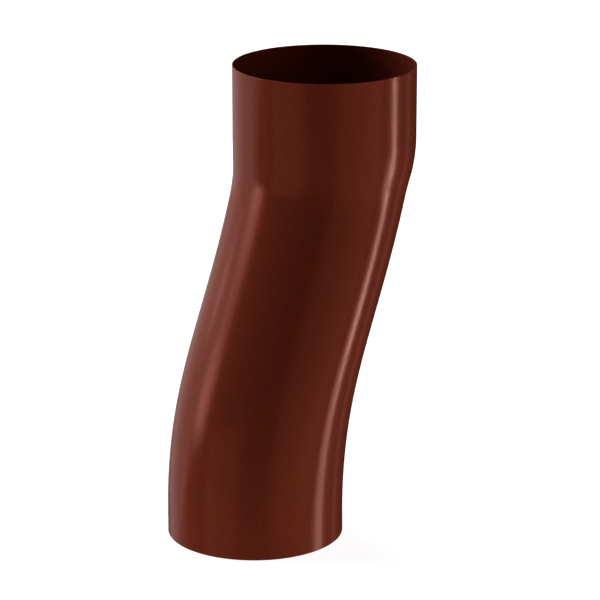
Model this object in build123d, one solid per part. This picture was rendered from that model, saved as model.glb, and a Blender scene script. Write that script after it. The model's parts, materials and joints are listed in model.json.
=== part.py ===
from build123d import *
import os
from math import radians, tan

# Downpipe offset of painted sheet steel: a plain lower end that goes into the pipe below, an
# S-shaped run that carries the axis sideways, and a widened socket that takes the pipe above.
# It stands on the centre of its lower end at the origin, +Z up, with the socket towards +X.

# Overall sizes, in millimetres
height = 262.0               # lower edge to socket rim
offset = 60.0                # between the two parallel axes
pipe_radius = 50.0           # outside, at the lower end and along the run
wall = 0.6                   # sheet thickness, measured level

# Socket and shoulder
socket_clearance = 1.6       # radial room round the pipe that slides into the socket
socket_length = 42.0         # straight part of the socket
shoulder_length = 19.5       # rounded step from the socket down to the crease
shoulder_round = 1.8         # power of the step's curve, 1 would be a plain cone
shoulder_lean = 9.5          # degrees, lean that the step has reached at the crease

# Crease and bend
crease_swell = 0.9           # radius that is still left over the pipe's at the crease
swell_length = 14.5          # height below the crease over which that fades out
crease_lean = 16.7           # degrees, lean of the run where it leaves the crease
upper_ease = 0.444           # share of the bend's height that keeps to the upper lean
lower_ease = 0.427           # share of the bend's height that keeps to the lower axis
spigot_length = 12.0         # straight part of the lower end

# Modelling
shoulder_stations = 4        # level sections that shape the shoulder
bend_stations = 28           # level sections along the bend, each joined straight to the next
bend_spacing = 1.2           # above 1 sets the bend's sections closer together near the crease
overrun = 2.0                # how far the passage is cut past both edges

# Heights of the changes along the piece
socket_radius = pipe_radius + socket_clearance + wall
crease_radius = pipe_radius + crease_swell
shoulder_z = height - socket_length
crease_z = shoulder_z - shoulder_length
bend_height = crease_z - spigot_length


def level_circle(x, z, radius):
    """Round section of the pipe, level at height z with its centre at x."""
    return Plane(origin=(x, 0, z)) * Circle(radius)


def shoulder_centre(drop):
    """Centre of the shoulder's section at a share of the drop from its top to the crease."""
    return offset - tan(radians(shoulder_lean)) * shoulder_length / 2 * drop**2


def shoulder_radius(drop):
    """Outside radius of the shoulder at the same share of the drop."""
    return socket_radius - (socket_radius - crease_radius) * drop**shoulder_round


def bend_radius(z):
    """Outside radius of the run at height z: the swell below the crease fades into the pipe."""
    left = max(0.0, 1 - (crease_z - z) / swell_length)
    return pipe_radius + crease_swell * left**2


def bend_line():
    """Centre line of the bend, from the leaning crease down into the lower axis."""
    start = shoulder_centre(1)
    upper_pull = upper_ease * bend_height
    return Bezier(
        (start, 0, crease_z),
        (start - tan(radians(crease_lean)) * upper_pull, 0, crease_z - upper_pull),
        (0, 0, spigot_length + lower_ease * bend_height),
        (0, 0, spigot_length),
    )


def socket(inset, extra):
    """Straight socket at the top, inset from the outside and run extra past the rim."""
    top = level_circle(offset, shoulder_z, socket_radius - inset)
    return extrude(top, socket_length + extra)


def shoulder(inset):
    """Rounded step between the socket and the crease."""
    sections = []
    for station in range(shoulder_stations + 1):
        drop = station / shoulder_stations
        z = shoulder_z - shoulder_length * drop
        sections.append(level_circle(shoulder_centre(drop), z, shoulder_radius(drop) - inset))
    return loft(sections)


def bend(inset):
    """S-shaped run below the crease, with every level section round."""
    line = bend_line()
    sections = []
    for station in range(bend_stations + 1):
        centre = line @ (station / bend_stations) ** bend_spacing
        sections.append(level_circle(centre.X, centre.Z, bend_radius(centre.Z) - inset))
    return loft(sections, ruled=True)


def spigot(inset, extra):
    """Straight lower end, inset from the outside and run extra past the lower edge."""
    return extrude(level_circle(0, -extra, pipe_radius - inset), spigot_length + extra)


def pipe_form(inset=0.0, extra=0.0):
    """Whole form as a filled solid, used once for the outside and once for the passage."""
    return socket(inset, extra) + shoulder(inset) + bend(inset) + spigot(inset, extra)


def offset_pipe():
    """The sheet-steel shell: the outside form less its passage."""
    return pipe_form() - pipe_form(inset=wall, extra=overrun)


os.makedirs("parts", exist_ok=True)
pipe = offset_pipe()
pipe.label = "offset_pipe"
export_step(pipe, "parts/offset_pipe.step")
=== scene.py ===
"""Looks of a painted sheet-steel downpipe offset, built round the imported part.

The pipe is one shell of thin sheet, open at both ends: a widened socket on top, a rounded shoulder
that ends in a crease, an S-shaped run and a plain lower end. It is modelled ring by ring down the
outside and up the inside, so that every level section stays round, and then painted.
"""

import json
import logging
import math
from bisect import bisect_left
from dataclasses import dataclass
from enum import Enum

import bmesh
import bpy
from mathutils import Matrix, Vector


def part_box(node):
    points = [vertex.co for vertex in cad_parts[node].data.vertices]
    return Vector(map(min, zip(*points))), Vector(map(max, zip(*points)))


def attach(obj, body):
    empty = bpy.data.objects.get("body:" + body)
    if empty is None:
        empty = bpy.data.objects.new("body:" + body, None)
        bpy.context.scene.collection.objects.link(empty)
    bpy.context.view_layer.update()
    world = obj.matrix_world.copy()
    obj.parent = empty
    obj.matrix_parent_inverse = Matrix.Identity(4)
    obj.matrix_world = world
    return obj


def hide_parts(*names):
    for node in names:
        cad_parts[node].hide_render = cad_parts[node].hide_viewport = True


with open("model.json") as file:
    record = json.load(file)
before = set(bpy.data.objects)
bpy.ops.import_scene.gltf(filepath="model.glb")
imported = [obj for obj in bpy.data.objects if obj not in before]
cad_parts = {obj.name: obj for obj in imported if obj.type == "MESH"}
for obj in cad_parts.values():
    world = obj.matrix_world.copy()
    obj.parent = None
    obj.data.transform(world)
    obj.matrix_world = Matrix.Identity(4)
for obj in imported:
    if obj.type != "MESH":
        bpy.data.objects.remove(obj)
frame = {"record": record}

log = logging.getLogger("downpipe_offset")

Colour = tuple[float, float, float]
Place = tuple[float, float, float]
Span = tuple[float, float]
Socket = bpy.types.NodeSocket
Tone = Colour | Socket

MM = 0.001
NODE = "offset_pipe"
BODY = "root"
INNER_FACE = "inner_face"
WHITE: Colour = (1.0, 1.0, 1.0)
FULL_SPAN: Span = (0.0, 1.0)


class Sheet(Enum):
    """Face of the sheet that a ring of the shell lies on."""

    OUTSIDE = 0
    INSIDE = 1


class Curve(Enum):
    """How a value runs between the ends of its span."""

    STRAIGHT = "LINEAR"
    EASED = "SMOOTHSTEP"


class Sum(Enum):
    """Ways to work out one value from others."""

    LARGER = "MAXIMUM"
    SMALLER = "MINIMUM"
    PRODUCT = "MULTIPLY"
    PRODUCT_PLUS = "MULTIPLY_ADD"


@dataclass(frozen=True)
class Ring:
    """A level round section of the sheet.

    Args:
        x: Sideways place of its centre, in metres.
        z: Its height, in metres.
        radius: Its radius, in metres.
    """

    x: float
    z: float
    radius: float

    @property
    def centre(self) -> Vector:
        """Centre of the ring."""
        return Vector((self.x, 0.0, self.z))


def mount(name: str) -> dict:
    """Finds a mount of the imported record.

    Args:
        name: The mount's name.

    Returns:
        The mount's entry, with its place and sizes.
    """
    return next(found for found in frame["record"]["mounts"] if found["name"] == name)


def opaque(colour: Colour) -> tuple[float, ...]:
    """Colour with the full cover that a socket asks for."""
    return (*colour, 1.0)


def shares(count: int, power: float = 1.0) -> list[float]:
    """Shares that rise to 1.

    Args:
        count: How many shares.
        power: Above 1 sets them closer together near 0.

    Returns:
        The shares in order, without the 0.
    """
    return [(step / count) ** power for step in range(1, count + 1)]


@dataclass
class PipeShape:
    """Outline of the pipe, worked out from its two fits and the form of its bend.

    Args:
        shoulder_length: Height of the rounded step under the socket.
        shoulder_round: Power of the step's curve.
        shoulder_lean: Lean that the step has reached at the crease.
        crease_swell: Radius still left over the pipe's at the crease.
        swell_length: Height over which that fades out below the crease.
        crease_lean: Lean of the run where it leaves the crease.
        upper_ease: Share of the bend's height that keeps to the upper lean.
        lower_ease: Share of the bend's height that keeps to the lower axis.
        crease_round: How far up and down the crease is rounded off.
    """

    shoulder_length: float = 19.5 * MM
    shoulder_round: float = 1.8
    shoulder_lean: float = math.radians(9.5)
    crease_swell: float = 0.9 * MM
    swell_length: float = 14.5 * MM
    crease_lean: float = math.radians(16.7)
    upper_ease: float = 0.444
    lower_ease: float = 0.427
    crease_round: float = 3.0 * MM

    def __post_init__(self) -> None:
        """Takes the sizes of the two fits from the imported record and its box."""
        socket, spigot = mount("socket"), mount("spigot")
        self.offset: float = socket["pos_m"][0]
        self.height: float = socket["pos_m"][2]
        self.socket_length: float = socket["dims"]["length_mm"] * MM
        self.spigot_length: float = spigot["dims"]["length_mm"] * MM
        self.pipe_radius: float = spigot["dims"]["r_mm"] * MM
        self.socket_radius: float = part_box(NODE)[1].x - self.offset
        self.wall: float = self.socket_radius - socket["dims"]["r_mm"] * MM
        self.crease_radius: float = self.pipe_radius + self.crease_swell
        self.shoulder_z: float = self.height - self.socket_length
        self.run_height: float = self.shoulder_z - self.shoulder_length - self.spigot_length
        self.crease_begin: float = 1.0 - self.crease_round / self.shoulder_length
        # A cubic curve leaves its start at three times the pull of its first handle.
        self.crease_end: float = self.crease_round / (3 * self.upper_ease * self.run_height)

    def socket_ring(self, drop: float) -> Ring:
        """Ring of the straight socket at a share of its length below the rim."""
        return Ring(self.offset, self.height - self.socket_length * drop, self.socket_radius)

    def shoulder_ring(self, drop: float) -> Ring:
        """Ring of the rounded step.

        Args:
            drop: Share of the way from the top of the step to the crease.

        Returns:
            The ring there, on the outside of the sheet.
        """
        lean = math.tan(self.shoulder_lean) * self.shoulder_length / 2 * drop**2
        step = (self.socket_radius - self.crease_radius) * drop**self.shoulder_round
        z = self.shoulder_z - self.shoulder_length * drop
        return Ring(self.offset - lean, z, self.socket_radius - step)

    def crease_ring(self, along: float) -> Ring:
        """Ring of the rounded crease.

        Args:
            along: Share of the way from its beginning on the shoulder to its end on the run.

        Returns:
            The ring there, on the outside of the sheet.
        """
        rest = 1.0 - along
        parts = (
            (rest**2, self.shoulder_ring(self.crease_begin)),
            (2 * rest * along, self.shoulder_ring(1.0)),
            (along**2, self.run_ring(self.crease_end)),
        )
        return Ring(
            x=sum(weight * ring.x for weight, ring in parts),
            z=sum(weight * ring.z for weight, ring in parts),
            radius=sum(weight * ring.radius for weight, ring in parts),
        )

    def run_ring(self, along: float) -> Ring:
        """Ring of the S-shaped run.

        Args:
            along: Share of the way along its curve from the crease to the lower end.

        Returns:
            The ring there, on the outside of the sheet.
        """
        start = self.shoulder_ring(1.0).centre
        end = Vector((0.0, 0.0, self.spigot_length))
        drop = self.run_height
        pull = self.upper_ease * drop
        near_start = start - Vector((math.tan(self.crease_lean) * pull, 0.0, pull))
        near_end = end + Vector((0.0, 0.0, self.lower_ease * drop))
        rest = 1.0 - along
        centre = start * rest**3 + near_start * (3 * rest**2 * along)
        centre += near_end * (3 * rest * along**2) + end * along**3
        left = max(0.0, 1.0 - (start.z - centre.z) / self.swell_length)
        return Ring(centre.x, centre.z, self.pipe_radius + self.crease_swell * left**2)

    def spigot_ring(self, drop: float) -> Ring:
        """Ring of the straight lower end at a share of its length below its top."""
        return Ring(0.0, self.spigot_length * (1.0 - drop), self.pipe_radius)


class NodeBench:
    """Lays out the node tree of one material, lamp or backdrop."""

    def __init__(
        self,
        owner: bpy.types.Material | bpy.types.Light | bpy.types.World,
        shader: str = "Principled BSDF",
    ) -> None:
        """Starts on the owner's own tree.

        Args:
            owner: The material, lamp or backdrop.
            shader: Name of the shader that it has from the start.
        """
        owner.use_nodes = True
        self.nodes = owner.node_tree.nodes
        self.links = owner.node_tree.links
        self.shader = self.nodes[shader]

    def place(self) -> Socket:
        """Place on the piece, in the piece's own metres."""
        return self.nodes.new("ShaderNodeTexCoord").outputs["Object"]

    def mark(self, name: str) -> Socket:
        """Reads a number that the piece carries at its points.

        Args:
            name: The number's name.

        Returns:
            The number.
        """
        node = self.nodes.new("ShaderNodeAttribute")
        node.attribute_name = name
        return node.outputs["Fac"]

    def noise(self, place: Socket, size: float, detail: float) -> Socket:
        """Adds a noise pattern.

        Args:
            place: Place on the piece.
            size: Size of the pattern's cells, in metres.
            detail: How many finer patterns lie in it.

        Returns:
            The pattern's value, from 0 to 1.
        """
        node = self.nodes.new("ShaderNodeTexNoise")
        node.inputs["Scale"].default_value = 1.0 / size
        node.inputs["Detail"].default_value = detail
        self.links.new(place, node.inputs["Vector"])
        return node.outputs["Fac"]

    def mix(self, share: Socket, low: Tone, high: Tone) -> Socket:
        """Mixes two colours.

        Args:
            share: Share of the high one.
            low: Colour at a share of 0.
            high: Colour at a share of 1.

        Returns:
            The mixed colour.
        """
        node = self.nodes.new("ShaderNodeMix")
        node.data_type = "RGBA"
        self.links.new(share, node.inputs["Factor"])
        for name, tone in (("A", low), ("B", high)):
            socket = next(found for found in node.inputs if found.name == name and found.type == "RGBA")
            if isinstance(tone, Socket):
                self.links.new(tone, socket)
            else:
                socket.default_value = opaque(tone)
        return next(found for found in node.outputs if found.type == "RGBA")

    def remap(
        self, value: Socket, source: Span, target: Span = FULL_SPAN, curve: Curve = Curve.STRAIGHT
    ) -> Socket:
        """Carries a value from one span over to another.

        Args:
            value: The value.
            source: Its own span.
            target: The span that it is carried to.
            curve: How it runs between the ends.

        Returns:
            The value in the new span.
        """
        node = self.nodes.new("ShaderNodeMapRange")
        node.interpolation_type = curve.value
        for name, end in zip(("From Min", "From Max", "To Min", "To Max"), (*source, *target)):
            node.inputs[name].default_value = end
        self.links.new(value, node.inputs["Value"])
        return node.outputs["Result"]

    def maths(self, way: Sum, *values: Socket | float) -> Socket:
        """Works out one value from others.

        Args:
            way: How.
            values: What from, in the order that the way asks for.

        Returns:
            The result.
        """
        node = self.nodes.new("ShaderNodeMath")
        node.operation = way.value
        for socket, value in zip(node.inputs, values):
            if isinstance(value, Socket):
                self.links.new(value, socket)
            else:
                socket.default_value = value
        return node.outputs["Value"]

    def bump(self, height: Socket, depth: float, below: Socket | None = None) -> Socket:
        """Adds a bump.

        Args:
            height: Its height, from 0 to 1.
            depth: The full height, in metres.
            below: Normal of the bump that it lies on.

        Returns:
            The normal with the bump on it.
        """
        node = self.nodes.new("ShaderNodeBump")
        node.inputs["Strength"].default_value = 1.0
        node.inputs["Distance"].default_value = depth
        self.links.new(height, node.inputs["Height"])
        if below is not None:
            self.links.new(below, node.inputs["Normal"])
        return node.outputs["Normal"]


@dataclass(frozen=True)
class PaintedSteel:
    """Semi-gloss oxide-red paint on sheet steel, with a fine powdery grain.

    Args:
        colour: Colour of the paint.
        worn_colour: Tone of the faint clouds in it.
        speck_colour: Tone of the specks of its powdery grain.
        speck_span: Height of the grain at which the specks begin and are full.
        speck_share: Share of their tone that the specks take on.
        edge_colour: Tone of the cut edges, where the coat is thin.
        inner_shade_colour: Darker tone painted on the inner face of the sheet, as painted shade inside the
            pipe.
        gloss_ior: Refraction of the clear binder that makes the gloss.
        gloss_tint: Tint of the gloss seen square on.
        gloss_level: Strength of the gloss, 0.5 for an ordinary varnish.
        roughness: Roughness of the gloss.
        roughness_drift: How far it drifts from place to place.
        grain_size: Size of the paint's grain.
        grain_detail: How many finer patterns lie in it.
        grain_height: Height of the grain.
        cloud_size: Size of the clouds.
        cloud_detail: How many finer patterns lie in them.
        wave_size: Size of the broad unevenness of the coat.
        wave_detail: How many finer patterns lie in it.
        wave_height: Height of that unevenness.
        edge_width: How far the thin coat reaches from the cut edges.
    """

    colour: Colour = (0.194, 0.0291, 0.0132)
    worn_colour: Colour = (0.182, 0.0276, 0.0126)
    speck_colour: Colour = (0.150, 0.0215, 0.0095)
    speck_span: Span = (0.46, 0.64)
    speck_share: float = 0.35
    edge_colour: Colour = (0.190, 0.0285, 0.0129)
    inner_shade_colour: Colour = (0.105, 0.0165, 0.0090)
    gloss_ior: float = 1.5
    gloss_tint: Colour = (1.0, 0.215, 0.098)
    gloss_level: float = 0.445
    roughness: float = 0.175
    roughness_drift: float = 0.02
    grain_size: float = 2.0 * MM
    grain_detail: float = 2.0
    grain_height: float = 0.05 * MM
    cloud_size: float = 24.0 * MM
    cloud_detail: float = 3.0
    wave_size: float = 14.0 * MM
    wave_detail: float = 1.0
    wave_height: float = 0.006 * MM
    edge_width: float = 0.25 * MM

    def material(self, shape: PipeShape) -> bpy.types.Material:
        """Builds the paint.

        Args:
            shape: Outline of the pipe, which says where the cut edges are.

        Returns:
            The finished material.
        """
        paint = bpy.data.materials.new("painted_steel")
        bench = NodeBench(paint)
        sockets = bench.shader.inputs
        sockets["IOR"].default_value = self.gloss_ior
        sockets["Specular IOR Level"].default_value = self.gloss_level
        sockets["Specular Tint"].default_value = opaque(self.gloss_tint)
        place = bench.place()

        clouds = bench.noise(place, self.cloud_size, self.cloud_detail)
        grain = bench.noise(place, self.grain_size, self.grain_detail)
        waves = bench.noise(place, self.wave_size, self.wave_detail)
        specks = bench.remap(grain, self.speck_span, (0.0, self.speck_share))
        tone = bench.mix(clouds, self.colour, self.worn_colour)
        tone = bench.mix(specks, tone, self.speck_colour)
        # Painted shade: the inner face takes a darker tone that stands for the shade inside the pipe.
        tone = bench.mix(bench.mark(INNER_FACE), tone, self.inner_shade_colour)
        tone = bench.mix(self.edge_mask(bench, place, shape), tone, self.edge_colour)
        bench.links.new(tone, sockets["Base Color"])

        span = (self.roughness - self.roughness_drift, self.roughness + self.roughness_drift)
        bench.links.new(bench.remap(clouds, FULL_SPAN, span), sockets["Roughness"])

        uneven = bench.bump(waves, self.wave_height)
        bench.links.new(bench.bump(grain, self.grain_height, uneven), sockets["Normal"])
        return paint

    def edge_mask(self, bench: NodeBench, place: Socket, shape: PipeShape) -> Socket:
        """Masks the two cut edges of the sheet.

        Args:
            bench: Where the nodes are laid out.
            place: Place on the piece.
            shape: Outline of the pipe.

        Returns:
            1 on the cut edges, falling to 0 on the coat beside them.
        """
        split = bench.nodes.new("ShaderNodeSeparateXYZ")
        bench.links.new(place, split.inputs["Vector"])
        height = split.outputs["Z"]
        rim = bench.remap(height, (shape.height - self.edge_width, shape.height), curve=Curve.EASED)
        foot = bench.remap(height, (self.edge_width, 0.0), curve=Curve.EASED)
        return bench.maths(Sum.LARGER, rim, foot)


@dataclass
class OffsetPipe:
    """The whole piece: one shell of sheet steel.

    Args:
        shape: Outline of the pipe.
        segments: Corners round each ring.
        socket_steps: Rings down the socket.
        shoulder_steps: Rings down the shoulder.
        crease_steps: Rings round the crease.
        run_steps: Rings along the run.
        run_spacing: Above 1 sets the run's rings closer together near the crease.
        spigot_steps: Rings down the straight lower end.
        edge_support: Distance of the ring that holds the shading beside each cut edge.
        edge_round: How far shears and paint round off the cut edges.
        edge_faces: Faces across that rounding.
        smooth_angle: Edges flatter than this are shaded smooth.
        hair: Points nearer than this are at the same height.
        merge_gap: Points nearer than this become one.
    """

    shape: PipeShape
    segments: int = 224
    socket_steps: int = 12
    shoulder_steps: int = 24
    crease_steps: int = 10
    run_steps: int = 96
    run_spacing: float = 1.25
    spigot_steps: int = 5
    edge_support: float = 0.45 * MM
    edge_round: float = 0.05 * MM
    edge_faces: int = 3
    smooth_angle: float = math.radians(50.0)
    hair: float = 0.002 * MM
    merge_gap: float = 0.0005 * MM

    def rings(self, sheet: Sheet) -> list[Ring]:
        """Rings of one face of the sheet.

        Args:
            sheet: Which face.

        Returns:
            The rings in order, downwards on the outside and upwards on the inside.
        """
        shape = self.shape
        top_support = self.edge_support / shape.socket_length
        low_support = self.edge_support / shape.spigot_length
        rings = [shape.socket_ring(share) for share in (0.0, top_support)]
        rings += [shape.socket_ring(share) for share in shares(self.socket_steps)]
        rings += [shape.shoulder_ring(share * shape.crease_begin) for share in shares(self.shoulder_steps)]
        rings += [shape.crease_ring(share) for share in shares(self.crease_steps)]
        for share in shares(self.run_steps, self.run_spacing):
            rings.append(shape.run_ring(shape.crease_end + (1.0 - shape.crease_end) * share))
        rings += [shape.spigot_ring(share) for share in shares(self.spigot_steps)[:-1]]
        rings += [shape.spigot_ring(share) for share in (1.0 - low_support, 1.0)]
        if sheet is Sheet.INSIDE:
            rings = [Ring(ring.x, ring.z, ring.radius - shape.wall) for ring in reversed(rings)]
        return rings

    def build(self, paint: PaintedSteel) -> bpy.types.Object:
        """Models the shell and paints it.

        Args:
            paint: Its finish.

        Returns:
            The finished piece, in place in the frame.
        """
        rings = self.rings(Sheet.OUTSIDE) + self.rings(Sheet.INSIDE)
        bpy.ops.object.select_all(action="DESELECT")
        bpy.ops.mesh.primitive_circle_add(
            vertices=self.segments, radius=rings[0].radius, fill_type="NOTHING", location=rings[0].centre
        )
        pipe = bpy.context.object
        pipe.name = pipe.data.name = "painted_offset_pipe"
        bpy.ops.object.transform_apply(location=True, rotation=True, scale=True)
        bpy.ops.object.mode_set(mode="EDIT")
        bpy.ops.mesh.select_mode(type="EDGE")
        bpy.ops.mesh.select_all(action="SELECT")
        for ring, following in zip(rings, rings[1:]):
            self.pull_ring(ring, following)
        self.close_rim()
        self.round_cut_edges(pipe)
        bpy.ops.mesh.select_all(action="SELECT")
        bpy.ops.mesh.remove_doubles(threshold=self.merge_gap)
        bpy.ops.mesh.normals_make_consistent(inside=False)
        bpy.ops.object.mode_set(mode="OBJECT")
        bpy.ops.object.shade_smooth_by_angle(angle=self.smooth_angle)
        self.mark_inner_face(pipe)
        pipe.data.materials.append(paint.material(self.shape))
        log.info("%s: %d faces", pipe.name, len(pipe.data.polygons))
        return pipe

    @staticmethod
    def pull_ring(ring: Ring, following: Ring) -> None:
        """Extrudes the selected ring of the mesh to the following one.

        Args:
            ring: The ring that is selected.
            following: The ring that it is drawn out to, and whose radius it takes.
        """
        step = following.centre - ring.centre
        scale = following.radius / ring.radius
        bpy.ops.mesh.extrude_edges_move(TRANSFORM_OT_translate={"value": step})
        bpy.ops.transform.resize(value=(scale, scale, 1.0), center_override=following.centre)

    @staticmethod
    def close_rim() -> None:
        """Bridges the last ring of the inside to the first ring of the outside."""
        bpy.ops.mesh.select_all(action="DESELECT")
        bpy.ops.mesh.select_non_manifold(extend=False)
        bpy.ops.mesh.bridge_edge_loops()

    def round_cut_edges(self, pipe: bpy.types.Object) -> None:
        """Rounds off both arrises of each cut edge: the socket's rim and the lower end.

        Args:
            pipe: The shell, in edit mode.
        """
        bpy.ops.mesh.select_all(action="DESELECT")
        shell = bmesh.from_edit_mesh(pipe.data)
        for face in shell.faces:
            heights = [corner.co.z for corner in face.verts]
            face.select = max(heights) - min(heights) < self.hair
        bmesh.update_edit_mesh(pipe.data)
        bpy.ops.mesh.select_mode(type="FACE")
        bpy.ops.mesh.region_to_loop()
        bpy.ops.mesh.bevel(offset=self.edge_round, segments=self.edge_faces, affect="EDGES")
        bpy.ops.mesh.select_mode(type="EDGE")

    def mark_inner_face(self, pipe: bpy.types.Object) -> None:
        """Marks the points of the sheet's inner face, which face the middle of their ring.

        Args:
            pipe: The finished shell, in object mode.
        """
        rings = self.rings(Sheet.INSIDE)
        heights = [ring.z for ring in rings]
        marks = pipe.data.attributes.new(INNER_FACE, "FLOAT", "POINT")
        for point, mark in zip(pipe.data.vertices, marks.data):
            nearest = min(bisect_left(heights, point.co.z - self.hair), len(rings) - 1)
            mark.value = float(point.normal.dot(point.co - rings[nearest].centre) < 0.0)


@dataclass(frozen=True)
class Lamp:
    """A soft box that faces the pipe.

    Args:
        name: What it is for.
        bearing: Its bearing seen from above, in degrees, 0 towards the camera and 90 to its right.
        elevation: How high it stands over the middle of the pipe, in degrees.
        width: Its width, in metres.
        height: Its height, in metres.
        turn: How far it is turned about its own axis, in degrees.
        level: Its brightness in the middle, 1 for white paper in full light.
        soft: How far in from its sides it fades out, in metres.
    """

    name: str
    bearing: float
    elevation: float
    width: float
    height: float
    turn: float
    level: float
    soft: float = 0.06

    def dress(self, data: bpy.types.Light) -> None:
        """Fades the lamp out towards its sides, as the cloth of a soft box does.

        Args:
            data: The lamp's data, of the area sort.
        """
        bench = NodeBench(data, "Emission")
        split = bench.nodes.new("ShaderNodeSeparateXYZ")
        across = bench.nodes.new("ShaderNodeNewGeometry").outputs["Parametric"]
        bench.links.new(across, split.inputs["Vector"])
        fades = []
        for share, size in ((split.outputs["X"], self.width), (split.outputs["Y"], self.height)):
            fade = self.soft / size
            near = bench.remap(share, (0.0, fade), curve=Curve.EASED)
            far = bench.remap(share, (1.0, 1.0 - fade), curve=Curve.EASED)
            fades.append(bench.maths(Sum.SMALLER, near, far))
        bench.links.new(bench.maths(Sum.PRODUCT, *fades), bench.shader.inputs["Strength"])


@dataclass
class Studio:
    """Camera, floor, backdrop and lamps.

    Args:
        middle: Point that the lamps face.
        lamps: The soft boxes.
        lamp_distance: How far from that point they stand.
        lamp_load: Watts per square metre that make a lamp's face as bright as level 1.
        camera_place: Where the camera stands.
        camera_pitch: How far it looks down, in degrees.
        camera_heading: Heading of its view, in degrees from +Y towards +X.
        lens: Focal length of its lens, in millimetres.
        sensor: Width of its film, in millimetres.
        floor_size: Width of the floor.
        paper: Colour of the floor, low enough that its glow and the lamps just make it white.
        paper_fibre: Tone of its fibres.
        fibre_size: Size of the fibres.
        fibre_detail: How many finer patterns lie in them.
        paper_glow: How bright the paper shows by itself, under the pipe and far from it.
        glow_reach: How far from the pipe's foot the paper shows the first and the second glow.
        mirrored_glow: How bright the backdrop shows in the pipe's gloss.
    """

    middle: Vector
    lamps: tuple[Lamp, ...]
    lamp_distance: float = 1.3
    lamp_load: float = 4.0
    camera_place: Place = (-1.16939, -1.05972, 0.62125)
    camera_pitch: float = 17.068
    camera_heading: float = 48.7505
    lens: float = 176.6
    sensor: float = 36.0
    floor_size: float = 12.0
    paper: Colour = (0.45, 0.45, 0.45)
    paper_fibre: Colour = (0.435, 0.435, 0.43)
    fibre_size: float = 3.0 * MM
    fibre_detail: float = 4.0
    paper_glow: Span = (0.92, 1.0)
    glow_reach: Span = (0.12, 0.60)
    mirrored_glow: float = 0.005

    def build(self) -> None:
        """Sets up the whole studio."""
        self.add_camera()
        self.add_floor()
        self.add_backdrop()
        for lamp in self.lamps:
            self.add_lamp(lamp)

    def add_camera(self) -> None:
        """Adds the camera, which looks down at the pipe and sees its socket on the right."""
        data = bpy.data.cameras.new("camera")
        data.lens = self.lens
        data.sensor_width = self.sensor
        camera = bpy.data.objects.new("camera", data)
        bpy.context.scene.collection.objects.link(camera)
        camera.location = self.camera_place
        pitch, heading = math.radians(self.camera_pitch), math.radians(self.camera_heading)
        camera.rotation_euler = (math.pi / 2 - pitch, 0.0, -heading)
        bpy.context.scene.camera = camera

    def towards(self, bearing: float, elevation: float) -> Vector:
        """Turns a lamp's bearing and elevation into a direction.

        Args:
            bearing: Bearing seen from above, in degrees, 0 towards the camera.
            elevation: Elevation, in degrees.

        Returns:
            The direction from the pipe, one metre long.
        """
        heading = math.radians(self.camera_heading) + math.pi - math.radians(bearing)
        lift = math.radians(elevation)
        level = Vector((math.sin(heading), math.cos(heading), 0.0))
        return level * math.cos(lift) + Vector((0.0, 0.0, math.sin(lift)))

    def add_lamp(self, lamp: Lamp) -> None:
        """Adds a soft box.

        Args:
            lamp: Its place, size and brightness.
        """
        data = bpy.data.lights.new(lamp.name, "AREA")
        data.shape = "RECTANGLE"
        data.size, data.size_y = lamp.width, lamp.height
        data.energy = lamp.level * self.lamp_load * lamp.width * lamp.height
        lamp.dress(data)
        box = bpy.data.objects.new(lamp.name, data)
        bpy.context.scene.collection.objects.link(box)
        direction = self.towards(lamp.bearing, lamp.elevation)
        box.location = self.middle + direction * self.lamp_distance
        facing = direction.to_track_quat("Z", "Y").to_matrix().to_4x4()
        box.rotation_euler = facing.to_euler()
        box.rotation_euler.rotate_axis("Z", math.radians(lamp.turn))
        box.visible_camera = False
        log.info("lamp %s", lamp.name)

    def add_floor(self) -> None:
        """Adds the pale floor, which shows white with the pipe's soft shadow."""
        bpy.ops.object.select_all(action="DESELECT")
        bpy.ops.mesh.primitive_plane_add(size=self.floor_size)
        floor = bpy.context.object
        floor.name = "floor"
        floor.visible_glossy = False
        floor.visible_diffuse = False
        floor.visible_shadow = False
        floor.data.materials.append(self.paper_material())

    def paper_material(self) -> bpy.types.Material:
        """Builds the paper of the floor.

        Returns:
            The finished material, which takes shadows and glows by itself in the camera's view.
        """
        paper = bpy.data.materials.new("paper")
        bench = NodeBench(paper)
        sockets = bench.shader.inputs
        sockets["Roughness"].default_value = 1.0
        sockets["Specular IOR Level"].default_value = 0.0
        sockets["Emission Color"].default_value = opaque(WHITE)
        place = bench.place()
        fibres = bench.noise(place, self.fibre_size, self.fibre_detail)
        bench.links.new(bench.mix(fibres, self.paper, self.paper_fibre), sockets["Base Color"])
        reach = bench.nodes.new("ShaderNodeVectorMath")
        reach.operation = "LENGTH"
        bench.links.new(place, reach.inputs[0])
        glow = bench.remap(reach.outputs["Value"], self.glow_reach, self.paper_glow, Curve.EASED)
        seen = bench.nodes.new("ShaderNodeLightPath").outputs["Is Camera Ray"]
        bench.links.new(bench.maths(Sum.PRODUCT, glow, seen), sockets["Emission Strength"])
        return paper

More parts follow.
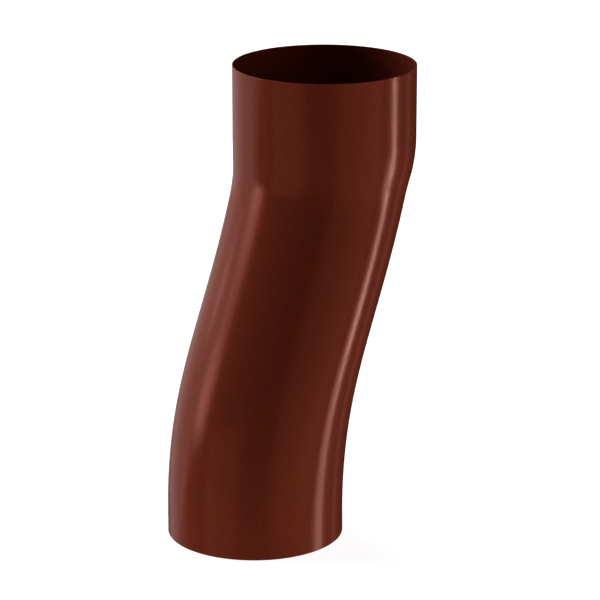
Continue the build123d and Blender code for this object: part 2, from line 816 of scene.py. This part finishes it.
    def add_backdrop(self) -> None:
        """Makes all past the floor white to the camera, and faint in the pipe's gloss."""
        world = bpy.data.worlds.new("backdrop")
        bpy.context.scene.world = world
        bench = NodeBench(world, "Background")
        sockets = bench.shader.inputs
        sockets["Color"].default_value = opaque(WHITE)
        path = bench.nodes.new("ShaderNodeLightPath").outputs
        mirrored = bench.maths(Sum.LARGER, path["Is Glossy Ray"], path["Is Transmission Ray"])
        shown = bench.maths(Sum.PRODUCT_PLUS, mirrored, self.mirrored_glow, path["Is Camera Ray"])
        bench.links.new(shown, sockets["Strength"])


# Name, bearing, elevation, width, height, turn and level. The feet stand for light off the floor.
# A least-squares fit to the photograph's tones placed most of the lamps. Their levels, and left_side,
# left_rim, right_side, right_back and right_floor, were set by comparing renders with the photograph.
LAMPS = (
    Lamp("left_box", -134.0, 40.0, 1.35, 1.7, -1.0, 3.95, soft=0.2),
    Lamp("left_wing", -120.0, -8.0, 1.57, 0.94, 34.0, 0.36),
    Lamp("left_side", -104.0, -8.0, 0.33, 1.33, 0.0, 0.2),
    Lamp("left_rim", -163.0, 2.0, 0.47, 1.96, 0.0, 0.3),
    Lamp("left_edge", -88.0, 8.0, 0.62, 0.72, 7.0, 2.75, soft=0.26),
    Lamp("left_front", -45.0, -11.0, 1.05, 0.85, 6.0, 0.385),
    Lamp("left_foot", -93.0, -46.0, 0.55, 0.55, 0.0, 3.2),
    Lamp("right_front", 45.0, 1.0, 1.53, 1.32, 6.0, 0.31),
    Lamp("right_side", 60.0, -12.0, 0.52, 0.9, 0.0, 0.06),
    Lamp("right_strip", 95.0, 10.0, 0.23, 1.54, 4.0, 5.4, soft=0.08),
    Lamp("right_back", 126.0, -8.0, 0.24, 1.56, 0.0, 0.14),
    Lamp("right_floor", 100.0, -60.0, 1.0, 1.0, 0.0, 2.2),
    Lamp("right_foot", 81.0, -40.0, 1.44, 0.33, 61.0, 2.6),
    Lamp("front_foot", -21.0, -44.0, 0.98, 0.33, -6.0, 5.7),
)


def main() -> None:
    """Builds the pipe and the studio."""
    logging.basicConfig(level=logging.INFO, format="%(name)s: %(message)s")
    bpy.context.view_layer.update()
    shape = PipeShape()
    pipe = OffsetPipe(shape).build(PaintedSteel())
    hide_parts(NODE)
    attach(pipe, BODY)
    Studio(middle=Vector((shape.offset / 2, 0.0, shape.height / 2)), lamps=LAMPS).build()
    bpy.context.scene.view_settings.view_transform = "Standard"


if __name__ == "__main__":
    main()
